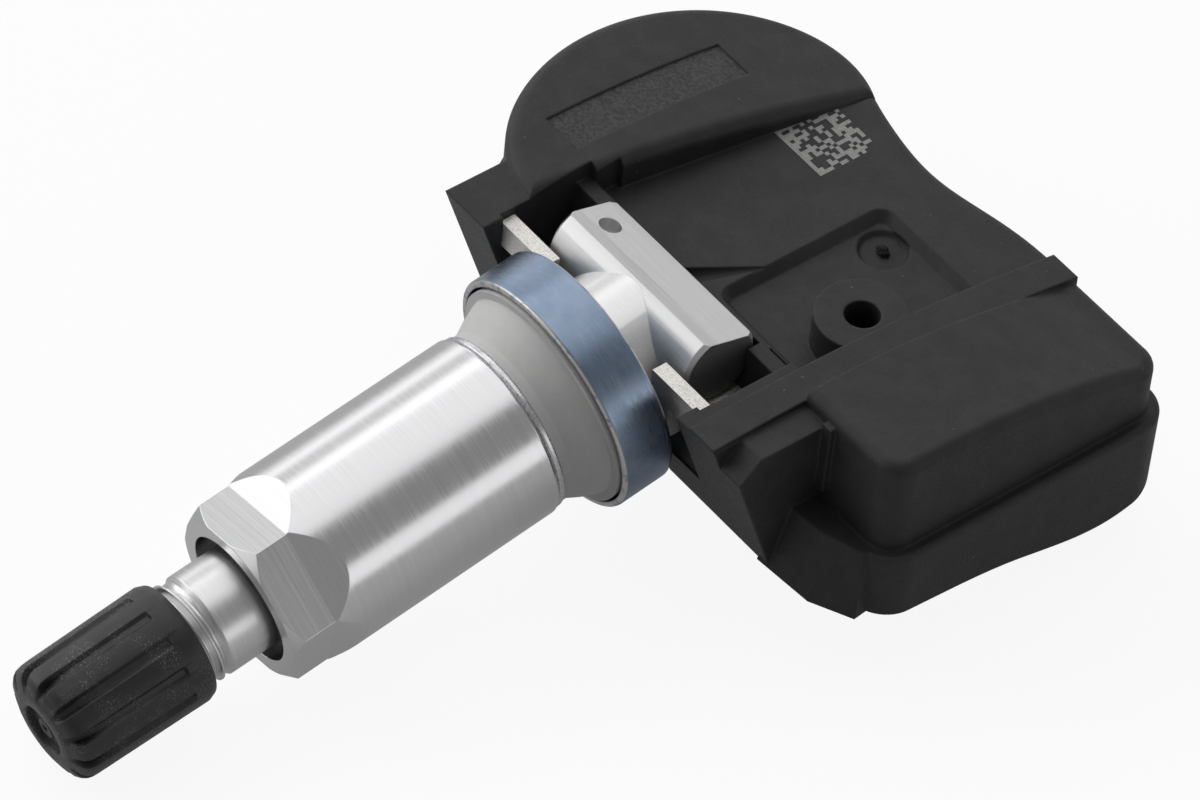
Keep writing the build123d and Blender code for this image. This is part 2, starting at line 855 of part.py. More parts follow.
# Retaining clip: a stamped and bent sheet that holds the neck down between the ears
with BuildPart() as retaining_clip:
    clip_front = pocket_front - clip_thickness
    with BuildSketch(Plane.XZ.offset(-pocket_front)):
        with BuildLine():
            Polyline(
                (clip_leg_inner, clip_top),
                (clip_half, clip_top),
                (clip_half, clip_tab_bottom),
                (clip_leg_outer, clip_tab_bottom),
                (clip_leg_outer, pocket_floor),
                (clip_leg_inner, pocket_floor),
                close=True,
            )
        make_face()
        mirror(about=Plane.YZ)
    extrude(amount=clip_thickness)
    web_back = pocket_back - slip
    with BuildSketch(Plane.XY.offset(pocket_floor)):
        with Locations((0, (clip_front + web_back) / 2)):
            Rectangle(2 * clip_leg_outer, web_back - clip_front)
        with Locations((0, (clip_front + clip_web_slot_back) / 2)):
            Rectangle(2 * clip_leg_inner, clip_web_slot_back - clip_front, mode=Mode.SUBTRACT)
    extrude(amount=clip_web_thickness)

# Coin cell and its welded tabs
cell_top = cavity_top - tab_thickness - slip
cell_bottom = cell_top - cell_height
with BuildPart() as battery_cell:
    with BuildSketch(Plane.XY.offset(cell_bottom)):
        with Locations((cell_x, cell_y)):
            Circle(cell_radius)
    extrude(amount=cell_height)
    fillet(battery_cell.edges().filter_by(GeomType.CIRCLE), cell_height / 8)

tab_x = cell_x + cell_radius + tab_thickness
with BuildPart() as battery_tab_top:
    with BuildSketch(Plane.XY.offset(cell_top)):
        with Locations((tab_x - tab_reach, cell_y)):
            Rectangle(2 * tab_reach, tab_width)
    extrude(amount=tab_thickness)
    with BuildSketch(Plane.XY.offset(board_top)):
        with Locations((tab_x + tab_thickness / 2, cell_y)):
            Rectangle(tab_thickness, tab_width)
    extrude(amount=cell_top + tab_thickness - board_top)

with BuildPart() as battery_tab_bottom:
    with BuildSketch(Plane.XY.offset(cell_bottom - tab_thickness)):
        with Locations((cell_x, cell_y)):
            Rectangle(tab_reach, tab_width)
    extrude(amount=tab_thickness)
    with BuildSketch(Plane.XY.offset(board_top)):
        with Locations((cell_x - tab_reach / 2 + tab_thickness / 2, cell_y)):
            Rectangle(tab_thickness, tab_width)
    extrude(amount=cell_bottom - tab_thickness - board_top)

# Circuit board and what stands on it
with BuildPart() as circuit_board:
    with BuildSketch(Plane.XY.offset(board_top)):
        plan_outline(-shell_wall - board_clearance)
        with Locations((0, cavity_front + board_clearance - box_right)):
            Rectangle(2 * (pocket_half + shell_wall + board_clearance), 2 * box_right, mode=Mode.SUBTRACT)
    extrude(amount=-board_thickness)


def chip(x, y, width, length, height):
    """A flat-packed chip on the board."""
    with BuildSketch(Plane.XY.offset(board_top)) as outline:
        with Locations((x, y)):
            Rectangle(width, length)
    extrude(outline.sketch, amount=height)


with BuildPart() as sensor_chip:
    chip(port_x, port_y, sensor_chip_side, sensor_chip_side, chip_height)

with BuildPart() as port_seal:
    with BuildSketch(Plane.XY.offset(board_top + chip_height)):
        with Locations((port_x, port_y)):
            Circle(port_seal_radius)
            Circle(port_seal_bore, mode=Mode.SUBTRACT)
    extrude(amount=cavity_top - board_top - chip_height)

with BuildPart() as transmitter_chip:
    chip(port_x + transmitter_offset, port_y, transmitter_side, transmitter_side, transmitter_height)

with BuildPart() as crystal:
    chip(
        port_x + transmitter_offset,
        port_y + crystal_offset,
        crystal_width,
        crystal_length,
        crystal_height,
    )

coil_x = port_x
coil_y = port_y + coil_offset
coil_z = board_top + coil_side / 2 + coil_flange
with BuildPart() as wake_coil_core:
    with BuildSketch(Plane.YZ.offset(coil_x)):
        with Locations((coil_y, coil_z)):
            Circle(coil_core_radius)
    extrude(amount=coil_length / 2, both=True)
    for side in (-1, 1):
        with BuildSketch(Plane.YZ.offset(coil_x + side * coil_length / 2)):
            with Locations((coil_y, coil_z)):
                Rectangle(2 * coil_winding_radius, 2 * (coil_z - board_top))
        extrude(amount=side * coil_flange)

with BuildPart() as wake_coil_winding:
    with BuildSketch(Plane.YZ.offset(coil_x)):
        with Locations((coil_y, coil_z)):
            Circle(coil_winding_radius)
            Circle(coil_core_radius, mode=Mode.SUBTRACT)
    extrude(amount=coil_length / 2, both=True)

with BuildPart() as antenna:
    antenna_right = box_right - shell_wall - board_clearance - antenna_width
    antenna_front = box_front + shell_wall + 2 * board_clearance
    antenna_back = box_back - shell_wall - board_clearance - box_corner_round
    with BuildSketch(Plane.XY.offset(board_top + antenna_height)):
        with Locations((antenna_right, (antenna_front + antenna_back) / 2)):
            Rectangle(antenna_width, antenna_back - antenna_front)
    extrude(amount=antenna_thickness)
    for end in (antenna_front, antenna_back):
        inward = 1 if end == antenna_front else -1
        with BuildSketch(Plane.XY.offset(board_top)):
            with Locations((antenna_right, end + inward * antenna_thickness / 2)):
                Rectangle(antenna_width, antenna_thickness)
        extrude(amount=antenna_height)

capacitors = {}
for number in range(capacitor_count):
    with BuildPart() as capacitor:
        chip(
            capacitor_x + number * capacitor_pitch,
            port_y - (sensor_chip_side + capacitor_length) / 2 - board_clearance,
            capacitor_width,
            capacitor_length,
            capacitor_width,
        )
    capacitors[f"chip_capacitor_{number + 1}"] = capacitor

# Potting: a layer of resin under the circuit board, which closes the housing's underside
with BuildPart() as potting:
    with BuildSketch(Plane.XY.offset(board_top - board_thickness - potting_clearance)):
        plan_outline(-shell_wall)
        with Locations((0, cavity_front - box_right)):
            Rectangle(2 * (pocket_half + shell_wall), 2 * box_right, mode=Mode.SUBTRACT)
    extrude(amount=tub_bottom - board_top + board_thickness + potting_clearance)

for name, piece in {
    "valve_body": valve_body,
    "backing_ring": backing_ring,
    "grommet": grommet,
    "washer": washer,
    "collar_nut": collar_nut,
    "valve_cap": valve_cap,
    "cap_seal": cap_seal,
    "core_body": core_body,
    "core_gasket": core_gasket,
    "core_pin": core_pin,
    "core_seat_seal": core_seat_seal,
    "core_spring": core_spring,
    "housing": housing,
    "retaining_clip": retaining_clip,
    "battery_cell": battery_cell,
    "battery_tab_top": battery_tab_top,
    "battery_tab_bottom": battery_tab_bottom,
    "circuit_board": circuit_board,
    "sensor_chip": sensor_chip,
    "port_seal": port_seal,
    "transmitter_chip": transmitter_chip,
    "crystal": crystal,
    "wake_coil_core": wake_coil_core,
    "wake_coil_winding": wake_coil_winding,
    "antenna": antenna,
    **capacitors,
    "potting": potting,
}.items():
    piece.part.label = name
    export_step(piece.part, f"parts/{name}.step")
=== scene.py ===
import math
import random

import bmesh
import bpy
from mathutils import Matrix, Vector, noise

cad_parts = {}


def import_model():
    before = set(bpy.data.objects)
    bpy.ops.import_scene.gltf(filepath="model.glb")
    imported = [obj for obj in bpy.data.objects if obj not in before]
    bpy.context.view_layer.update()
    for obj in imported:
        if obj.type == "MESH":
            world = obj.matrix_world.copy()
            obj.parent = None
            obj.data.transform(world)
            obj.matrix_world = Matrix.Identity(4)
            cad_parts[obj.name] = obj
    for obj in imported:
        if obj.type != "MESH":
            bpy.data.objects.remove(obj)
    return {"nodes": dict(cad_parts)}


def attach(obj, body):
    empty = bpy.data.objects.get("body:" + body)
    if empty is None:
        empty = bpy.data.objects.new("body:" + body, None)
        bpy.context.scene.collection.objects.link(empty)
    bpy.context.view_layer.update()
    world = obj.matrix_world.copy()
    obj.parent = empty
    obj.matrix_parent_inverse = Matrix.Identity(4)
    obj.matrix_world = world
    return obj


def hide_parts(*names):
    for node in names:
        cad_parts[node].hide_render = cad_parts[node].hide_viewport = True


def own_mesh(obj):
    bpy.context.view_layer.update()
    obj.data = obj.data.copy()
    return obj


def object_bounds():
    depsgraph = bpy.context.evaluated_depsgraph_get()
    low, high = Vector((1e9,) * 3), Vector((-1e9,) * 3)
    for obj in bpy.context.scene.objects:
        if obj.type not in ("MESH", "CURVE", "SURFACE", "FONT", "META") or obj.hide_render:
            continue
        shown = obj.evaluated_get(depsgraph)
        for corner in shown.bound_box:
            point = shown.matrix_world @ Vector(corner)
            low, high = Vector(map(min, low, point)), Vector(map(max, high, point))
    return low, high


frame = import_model()
cad_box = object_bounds()

MM = 0.001

# Camera, found from the valve's circles: it looks down at the sensor from its front right
CAMERA_AZIMUTH = 47.29
CAMERA_ELEVATION = 46.86
CAMERA_ROLL = 6.3
CAMERA_DISTANCE = 550 * MM
CAMERA_TARGET = Vector((1.054, -4.639, -6.487)) * MM
CAMERA_LENS = 240
SENSOR_WIDTH = 36
CLIP_START = 0.01
CLIP_END = 20

# The stem's axis, which the valve's round parts share
VALVE_TILT = math.radians(10.5)
AXIS_DROP = 2.6 * MM
TOWARD_CAP = Vector((0, -math.cos(VALVE_TILT), -math.sin(VALVE_TILT)))
ACROSS_UP = Vector((0, -math.sin(VALVE_TILT), math.cos(VALVE_TILT)))
STEM_ORIGIN = -AXIS_DROP * ACROSS_UP

# Places along the stem, from the cross bar towards the cap
RING_BACK = 5.5 * MM
RING_FRONT = 9.6 * MM
RING_RADIUS = 9.15 * MM
BAR_REACH = 4.2 * MM
BAR_TOP = 2.6 * MM

# The shallow field in the dome's top, and the marked square in the valley
FIELD_CENTRE = Vector((-14.35, 10.95, 0)) * MM
FIELD_HALF = Vector((1.75, 7.75, 0)) * MM
VALLEY_TOP = -0.6 * MM
MARK_CENTRE = Vector((-5.6, 20.2, 0)) * MM
MARK_SIDE = 5.2 * MM
MARK_CELLS = 16
MARK_THICKNESS = 0.012 * MM
MARK_SEED = 11
MARK_GAPS = 0.5

# Stub that the moulding's gate left in its dish
GATE_CENTRE = Vector((4.4, 17.3, -1.75)) * MM
GATE_STUB_RADIUS = 0.5 * MM
GATE_STUB_SHAPE = Vector((1.0, 0.7, 1.1))
GATE_STUB_CHANCE = Vector((3.7, 1.3, 8.1))
GATE_STUB_GRAIN = 0.2 * MM
GATE_STUB_ROUGHNESS = 0.45
GATE_STUB_SUBDIVISIONS = 4

# Thread on the stem's end; its crest is flat over this share of the pitch, each side of middle
THREAD_START = 38.95 * MM
THREAD_END = 48.1 * MM
THREAD_PITCH = 0.794 * MM
THREAD_CREST = 3.87 * MM
THREAD_ROOT = 3.38 * MM
THREAD_FACETS = 72
THREAD_FLAT = 0.07
THREAD_FIRST_HEIGHT = 0.1

# Cap, in millimetres: places along the stem, the radius of its ribs, and that of its grooves
CAP_RIBS = 12
CAP_RIB_FACETS = 20
CAP_GROOVE_HALF = 0.2
CAP_SKIN = (
    (40.7, 4.2, 4.2), (40.7, 4.3, 4.3), (40.78, 4.36, 4.36), (41.3, 4.55, 4.55),
    (42.44, 4.54, 4.54), (42.5, 4.54, 4.4), (42.58, 4.54, 4.3), (45.5, 4.51, 4.26),
    (48.6, 4.47, 4.2), (49.6, 4.46, 4.1), (50.3, 4.45, 3.92), (50.8, 4.42, 3.74),
    (51.1, 4.34, 3.6), (51.35, 4.18, 3.48), (51.55, 3.95, 3.38), (51.7, 3.6, 3.28),
    (51.82, 3.25, 3.15), (51.92, 3.0, 2.98), (51.98, 2.75, 2.75), (52.0, 2.5, 2.5),
    (52.0, 2.05, 2.05), (51.96, 1.95, 1.95), (51.86, 1.9, 1.9), (51.5, 1.86, 1.86),
    (51.5, 0.84, 0.84), (51.68, 0.8, 0.8), (51.74, 0.74, 0.74), (51.75, 0.6, 0.6),
    (51.75, 0.4, 0.4), (51.66, 0.32, 0.32), (51.6, 0.3, 0.3), (51.6, 0, 0),
)
CAP_BORE = ((40.7, 3.95), (49.6, 3.95), (49.6, 0))
CREASE_ANGLE = math.radians(40)

# Floor: its size and own grey, how strongly it glows, and the share of that glow which the
# camera and the object's mirrored rays see
FLOOR_HALF = 3
FLOOR_GREY = 0.5
FLOOR_GLOW = 1.14
CAMERA_SHARE = 0.8
MIRROR_SHARE = 0.2

# The studio's light on the object, the same from all sides
SOFT_LIGHT = (0.1, 0.1, 0.103)

# The studio's ceiling: where it starts above the horizon (as a direction's height) and its grey
CEILING_START = 0.3
CEILING_FULL = 0.42
CEILING_GREY = 0.3

# The studio's dark side, in front of the object: its direction, and where it starts and is full
FRONT = Vector((0.735, -0.678, 0))
FRONT_START = 0.5
FRONT_FULL = 0.85

# Lamps: name, direction, distance, width, height, the brightness of their surface, and whether
# metal mirrors them
LAMPS = (
    ("overhead", (-0.25, 0.25, 1), 0.55, 0.6, 0.6, 0.9, True),
    ("left_front", (-0.85, -0.55, 0.5), 0.6, 0.55, 0.6, 1.1, True),
    ("left_back", (-0.85, 0.3, 0.55), 0.6, 0.5, 0.5, 0.5, True),
    ("right_side", (1, 0.25, 0.12), 0.6, 0.25, 0.35, 0.25, True),
    ("left_fill", (-1, -0.35, 0.55), 0.6, 0.6, 0.6, 1.1, False),
    ("right_fill", (1, -0.3, 0.35), 0.7, 0.4, 0.4, 0.5, False),
)

# How far the shaders round sharp edges
METAL_EDGE = 0.12 * MM
RING_EDGE = 0.15 * MM
HOUSING_EDGE = 0.28 * MM
CAP_EDGE = 0.12 * MM
SMALL_EDGE = 0.08 * MM
EDGE_SAMPLES = 6

# Finishes of two close colours: the colours, grain in millimetres, metallic, roughness from and
# to, and relief in millimetres
PLAIN_FINISHES = {
    "grommet_rubber": ((0.585, 0.58, 0.575), (0.615, 0.61, 0.6), 1.6, 0, (0.42, 0.6), 0.006),
    "seal_rubber": ((0.02, 0.02, 0.02), (0.035, 0.035, 0.035), 0.2, 0, (0.5, 0.7), 0.006),
    "core_brass": ((0.66, 0.5, 0.2), (0.8, 0.64, 0.32), 0.3, 1, (0.2, 0.35), 0.006),
    "spring_steel": ((0.5, 0.5, 0.52), (0.68, 0.68, 0.7), 0.2, 1, (0.2, 0.35), 0.006),
    "tab_nickel": ((0.6, 0.58, 0.54), (0.75, 0.73, 0.68), 0.5, 1, (0.25, 0.4), 0.006),
    "cell_steel": ((0.6, 0.6, 0.6), (0.74, 0.74, 0.73), 0.8, 1, (0.2, 0.35), 0.006),
    "copper_wire": ((0.55, 0.22, 0.08), (0.72, 0.34, 0.14), 0.12, 1, (0.4, 0.6), 0.006),
    "chip_moulding": ((0.018, 0.018, 0.018), (0.03, 0.03, 0.03), 0.1, 0, (0.4, 0.6), 0.006),
    "potting_resin": (
        (0.03, 0.033, 0.032), (0.045, 0.048, 0.046), 1.2, 0, (0.25, 0.45), 0.05),
    "board_laminate": ((0.01, 0.09, 0.035), (0.02, 0.14, 0.06), 0.6, 0, (0.4, 0.6), 0.006),
    "ferrite": ((0.06, 0.06, 0.065), (0.1, 0.1, 0.105), 0.15, 0, (0.4, 0.6), 0.006),
    "capacitor_ceramic": ((0.3, 0.22, 0.14), (0.42, 0.32, 0.22), 0.1, 0, (0.4, 0.6), 0.006),
}

# Which finish each node of the part gets
NODE_FINISHES = {
    "housing": "housing_plastic",
    "potting": "potting_resin",
    "circuit_board": "board_laminate",
    "battery_cell": "cell_steel",
    "battery_tab_top": "tab_nickel",
    "battery_tab_bottom": "tab_nickel",
    "antenna": "tab_nickel",
    "sensor_chip": "chip_moulding",
    "transmitter_chip": "chip_moulding",
    "crystal": "spring_steel",
    "wake_coil_core": "ferrite",
    "wake_coil_winding": "copper_wire",
    "chip_capacitor_1": "capacitor_ceramic",
    "chip_capacitor_2": "capacitor_ceramic",
    "chip_capacitor_3": "capacitor_ceramic",
    "chip_capacitor_4": "capacitor_ceramic",
    "port_seal": "seal_rubber",
    "cap_seal": "seal_rubber",
    "core_gasket": "seal_rubber",
    "core_seat_seal": "seal_rubber",
    "retaining_clip": "clip_steel",
    "valve_body": "valve_aluminium",
    "backing_ring": "ring_steel",
    "grommet": "grommet_rubber",
    "washer": "spring_steel",
    "collar_nut": "nut_aluminium",
    "core_body": "core_brass",
    "core_pin": "core_brass",
    "core_spring": "spring_steel",
    "valve_cap": "cap_plastic",
}


class Nodes:
    """Adds nodes to an empty node tree and links them."""

    def __init__(self, tree):
        self.tree = tree
        tree.nodes.clear()

    def add(self, kind):
        return self.tree.nodes.new("ShaderNode" + kind)

    def put(self, socket, value):
        """Link a socket or set a plain value."""
        if isinstance(value, bpy.types.NodeSocket):
            self.tree.links.new(value, socket)
        else:
            socket.default_value = value

    def math(self, operation, first, second=0.0, third=0.0):
        node = self.add("Math")
        node.operation = operation
        for socket, value in zip(node.inputs, (first, second, third)):
            self.put(socket, value)
        return node.outputs[0]

    def dot(self, vector, direction):
        """How far a vector reaches along a direction."""
        node = self.add("VectorMath")
        node.operation = "DOT_PRODUCT"
        self.put(node.inputs[0], vector)
        node.inputs[1].default_value = tuple(direction)
        return node.outputs["Value"]

    def step(self, value, start, end, low=0.0, high=1.0):
        """Smooth step of a value from low at start to high at end."""
        node = self.add("MapRange")
        node.interpolation_type = "SMOOTHSTEP"
        self.put(node.inputs["Value"], value)
        limits = {"From Min": start, "From Max": end, "To Min": low, "To Max": high}
        for name, number in limits.items():
            node.inputs[name].default_value = number
        return node.outputs["Result"]

    def mix(self, factor, first, second):
        """Mix two shaders."""
        node = self.add("MixShader")
        for socket, value in zip(node.inputs, (factor, first, second)):
            self.put(socket, value)
        return node.outputs[0]

    def background(self, colour):
        node = self.add("Background")
        self.put(node.inputs["Color"], colour)
        return node.outputs[0]

    def seen_share(self, camera_share, mirror_share):
        """A share for the rays that see the background, and 0 for all others."""
        rays = self.add("LightPath")
        shares = {
            "Is Camera Ray": camera_share,
            "Is Glossy Ray": mirror_share,
            "Is Transmission Ray": mirror_share,
        }
        total = 0.0
        for name, share in shares.items():
            total = self.math("MULTIPLY_ADD", rays.outputs[name], share, total)
        return total


class Shader(Nodes):
    """Builds one material's nodes, in metres of the part's own frame."""

    def __init__(self, name, metallic=0.0, specular=0.5):
        self.material = bpy.data.materials.new(name)
        self.material.use_nodes = True
        super().__init__(self.material.node_tree)
        self.bsdf = self.add("BsdfPrincipled")
        self.put(self.add("OutputMaterial").inputs["Surface"], self.bsdf.outputs["BSDF"])
        self.bsdf.inputs["Metallic"].default_value = metallic
        self.bsdf.inputs["Specular IOR Level"].default_value = specular
        self.place = self.add("TexCoord").outputs["Object"]

    def along(self, direction, origin=(0, 0, 0)):
        """Distance along a direction, from an origin."""
        moved = self.add("VectorMath")
        moved.operation = "SUBTRACT"
        self.put(moved.inputs[0], self.place)
        moved.inputs[1].default_value = tuple(origin)
        return self.dot(moved.outputs[0], direction)

    def combine(self, x, y, z):
        node = self.add("CombineXYZ")
        for socket, value in zip(node.inputs, (x, y, z)):
            self.put(socket, value)
        return node.outputs[0]

    def noise(self, grain, detail, vector=None, rough=0.55):
        """Noise with grains of a given size in metres."""
        node = self.add("TexNoise")
        node.inputs["Scale"].default_value = 1 / grain
        node.inputs["Detail"].default_value = detail
        node.inputs["Roughness"].default_value = rough
        self.put(node.inputs["Vector"], self.place if vector is None else vector)
        return node.outputs["Fac"]

    def specks(self, spacing, size):
        """Sparse round specks: 1 inside a speck, 0 outside."""
        node = self.add("TexVoronoi")
        node.inputs["Scale"].default_value = 1 / spacing
        self.put(node.inputs["Vector"], self.place)
        return self.step(node.outputs["Distance"], size, size * 0.6)

    def both(self, first, second):
        """Product of two shares: 1 only where both are 1."""
        return self.math("MULTIPLY", first, second)

    def rest(self, share):
        """What a share leaves of 1."""
        return self.math("SUBTRACT", 1.0, share)

    def near(self, value, centre, reach):
        """1 where a value is close to a centre, falling to 0 at the reach."""
        away = self.math("ABSOLUTE", self.math("SUBTRACT", value, centre))
        return self.step(away, reach, reach * 0.5)

    def blend(self, factor, first, second):
        """Mix two colours."""
        node = self.add("Mix")
        node.data_type = "RGBA"
        self.put(node.inputs["Factor"], factor)
        colours = [socket for socket in node.inputs if socket.type == "RGBA"]
        for socket, value in zip(colours, (first, second)):
            linked = isinstance(value, bpy.types.NodeSocket)
            self.put(socket, value if linked else (*value, 1))
        return [socket for socket in node.outputs if socket.type == "RGBA"][0]

    def bump(self, height, depth, normal=None):
        """Bump of a height field from 0 to 1, with its depth in metres."""
        node = self.add("Bump")
        node.inputs["Strength"].default_value = 1.0
        node.inputs["Distance"].default_value = depth
        self.put(node.inputs["Height"], height)
        if normal is not None:
            self.put(node.inputs["Normal"], normal)
        return node.outputs["Normal"]

    def rounded(self, radius):
        """Normal as if sharp edges were rounded by a radius."""
        node = self.add("Bevel")
        node.samples = EDGE_SAMPLES
        node.inputs["Radius"].default_value = radius
        return node.outputs["Normal"]

    def stem(self):
        """Distance along the stem, distance from its axis, and the direction round it."""
        distance = self.along(TOWARD_CAP, STEM_ORIGIN)
        side = self.along((1, 0, 0))
        height = self.along(ACROSS_UP, STEM_ORIGIN)
        squares = self.math("ADD", self.both(side, side), self.both(height, height))
        radius = self.math("SQRT", squares)
        around = (self.math("DIVIDE", side, radius), self.math("DIVIDE", height, radius))
        return distance, radius, around

    def rings(self, grain, spread):
        """Noise drawn out round the stem: the turns wander by a spread along one turn."""
        distance, _, (side, height) = self.stem()
        round_stem = self.combine(distance, self.both(side, spread), self.both(height, spread))
        return self.noise(grain, 3, round_stem)

    def finish(self, colour, roughness, normal):
        self.put(self.bsdf.inputs["Base Color"], colour)
        self.put(self.bsdf.inputs["Roughness"], roughness)
        self.put(self.bsdf.inputs["Normal"], normal)
        return self.material


def housing_plastic():
    """Matte black moulding: fine grain, dust specks and a coarser grain in the dome's field."""
    s = Shader("housing_plastic", specular=0.36)
    mottle = s.noise(2.4 * MM, 4)
    grain = s.noise(0.16 * MM, 3, rough=0.7)
    coarse = s.noise(0.3 * MM, 4, rough=0.75)
    from_middle = s.math("ABSOLUTE", s.along((1, 0, 0), FIELD_CENTRE))
    across = s.step(from_middle, FIELD_HALF.x, FIELD_HALF.x * 0.98)
    from_middle = s.math("ABSOLUTE", s.along((0, 1, 0), FIELD_CENTRE))
    lengthways = s.step(from_middle, FIELD_HALF.y, FIELD_HALF.y * 0.99)
    field = s.both(s.both(across, lengthways), s.step(s.along((0, 0, 1)), -1 * MM, 0))
    dust = s.both(s.specks(1.1 * MM, 0.1), s.step(s.noise(4 * MM, 2), 0.5, 0.7))
    colour = s.blend(s.step(mottle, 0.35, 0.7), (0.022, 0.022, 0.023), (0.031, 0.031, 0.032))
    colour = s.blend(s.both(field, s.step(coarse, 0.4, 0.62)), colour, (0.066, 0.066, 0.066))
    colour = s.blend(s.both(dust, 0.5), colour, (0.16, 0.16, 0.155))
    normal = s.bump(grain, 0.016 * MM, s.rounded(HOUSING_EDGE))
    normal = s.bump(s.both(coarse, field), 0.05 * MM, normal)
    return s.finish(colour, s.step(grain, 0.3, 0.7, 0.46, 0.62), normal)


def turned_metal(name, light, dark, rough):
    """Turned and milled aluminium: lines round the stem and along the cross bar, cast sides."""
    s = Shader(name, metallic=1.0)
    distance = s.along(TOWARD_CAP, STEM_ORIGIN)
    on_stem = s.step(distance, BAR_REACH, BAR_REACH * 1.05)
    along_bar = s.combine(
        s.both(s.along((1, 0, 0)), 0.03), s.along((0, 1, 0)), s.along((0, 0, 1)))
    round_lines = s.both(s.rings(0.09 * MM, 0.03 * MM), on_stem)
    bar_lines = s.both(s.noise(0.12 * MM, 3, along_bar), s.rest(on_stem))
    lines = s.math("ADD", round_lines, bar_lines)
    under_top = s.step(s.along(ACROSS_UP), BAR_TOP - 0.1 * MM, BAR_TOP - 0.2 * MM)
    cast_sides = s.both(s.rest(s.step(distance, RING_BACK, RING_BACK * 1.05)), under_top)
    cast = s.noise(0.1 * MM, 3, rough=0.7)
    nicks = s.both(s.specks(0.9 * MM, 0.05), s.step(s.noise(3 * MM, 2), 0.55, 0.7))
    colour = s.blend(s.step(lines, 0.3, 0.7), dark, light)
    colour = s.blend(s.both(nicks, 0.35), colour, (0.5, 0.5, 0.49))
    roughness = s.math("ADD", s.step(lines, 0.3, 0.7, *rough), s.both(cast_sides, 0.16))
    normal = s.bump(lines, 0.0014 * MM, s.rounded(METAL_EDGE))
    normal = s.bump(s.both(cast, cast_sides), 0.012 * MM, normal)
    return s.finish(colour, roughness, normal)


def ring_steel():
    """Blued steel cup, finely brushed, heat-tinted in places, with its rims worn bright."""
    s = Shader("ring_steel", metallic=1.0)
    distance, radius, _ = s.stem()
    fine = s.rings(0.1 * MM, 0.5 * MM)
    stain = s.noise(3.2 * MM, 3)
    tint = s.step(s.noise(2.6 * MM, 3), 0.56, 0.72)
    outside = s.step(radius, RING_RADIUS - 0.6 * MM, RING_RADIUS - 0.3 * MM)
    rims = s.math(
        "MAXIMUM", s.near(distance, RING_FRONT, 0.2 * MM), s.near(distance, RING_BACK, 0.2 * MM))
    worn = s.both(s.both(rims, outside), s.step(s.noise(0.7 * MM, 4), 0.3, 0.5))
    colour = s.blend(s.step(stain, 0.35, 0.7), (0.19, 0.25, 0.345), (0.25, 0.31, 0.41))
    colour = s.blend(s.both(tint, 0.3), colour, (0.36, 0.32, 0.27))
    colour = s.blend(s.both(s.step(fine, 0.5, 0.75), 0.3), colour, (0.34, 0.39, 0.46))
    colour = s.blend(worn, colour, (0.6, 0.58, 0.55))
    normal = s.bump(fine, 0.0016 * MM, s.rounded(RING_EDGE))
    return s.finish(colour, s.step(fine, 0.3, 0.7, 0.26, 0.38), normal)


def plain_finish(name, colour, other, grain, metallic, rough, depth):
    """Two close colours mixed by a noise, which also drives roughness and relief."""
    s = Shader(name, metallic=metallic)
    pattern = s.noise(grain * MM, 4, rough=0.65)
    mixed = s.blend(s.step(pattern, 0.35, 0.65), colour, other)
    normal = s.bump(pattern, depth * MM, s.rounded(SMALL_EDGE))
    return s.finish(mixed, s.step(pattern, 0.3, 0.7, *rough), normal)


def cap_plastic():
    """Black cap: satin, with a granular sheen in patches, painted into its colour as pale glints.
    """
    s = Shader("cap_plastic")
    grain = s.noise(0.13 * MM, 3, rough=0.7)
    patch = s.step(s.noise(2.2 * MM, 2), 0.42, 0.6)
    # Painted highlights: pale glints put into the colour, in the patches
    glints = s.both(s.step(s.noise(0.12 * MM, 2, rough=0.8), 0.52, 0.66), patch)
    colour = s.blend(grain, (0.012, 0.012, 0.013), (0.024, 0.024, 0.026))
    colour = s.blend(glints, colour, (0.17, 0.17, 0.17))
    height = s.both(grain, s.step(patch, -1.0, 1.0))
    normal = s.bump(height, 0.035 * MM, s.rounded(CAP_EDGE))
    return s.finish(colour, s.step(grain, 0.3, 0.7, 0.3, 0.5), normal)


def sheared_steel():
    """Bright sheared sheet edge, with the coarse grain of torn metal."""
    s = Shader("clip_steel", metallic=0.9)
    grain = s.noise(0.1 * MM, 4, rough=0.8)
    colour = s.blend(s.step(grain, 0.35, 0.6), (0.55, 0.53, 0.5), (0.93, 0.91, 0.87))
    return s.finish(colour, s.step(grain, 0.3, 0.7, 0.25, 0.55), s.bump(grain, 0.03 * MM))


def marked_grey():
    """Pale laser marking, with the moulding's grain showing through."""
    s = Shader("marked_grey", specular=0.3)
    grain = s.noise(0.08 * MM, 3, rough=0.8)
    colour = s.blend(s.step(grain, 0.3, 0.6), (0.2, 0.2, 0.195), (0.42, 0.42, 0.41))
    s.put(s.bsdf.inputs["Base Color"], colour)
    s.put(s.bsdf.inputs["Roughness"], 0.7)
    return s.material


def dress_nodes():
    """Give every node of the part its material, and return the materials by name."""
    finishes = {name: plain_finish(name, *values) for name, values in PLAIN_FINISHES.items()}
    finishes["housing_plastic"] = housing_plastic()
    finishes["nut_aluminium"] = turned_metal(
        "nut_aluminium", (0.69, 0.69, 0.7), (0.65, 0.65, 0.66), (0.19, 0.26))
    finishes["valve_aluminium"] = turned_metal(
        "valve_aluminium", (0.71, 0.71, 0.71), (0.65, 0.65, 0.65), (0.28, 0.36))
    finishes["ring_steel"] = ring_steel()
    finishes["cap_plastic"] = cap_plastic()
    finishes["clip_steel"] = sheared_steel()
    for name, piece in frame["nodes"].items():
        piece.data.materials.clear()
        piece.data.materials.append(finishes[NODE_FINISHES[name]])
    return finishes


def placed(name, data):
    """A new object of the scene, with its data."""
    piece = bpy.data.objects.new(name, data)
    bpy.context.scene.collection.objects.link(piece)
    return piece


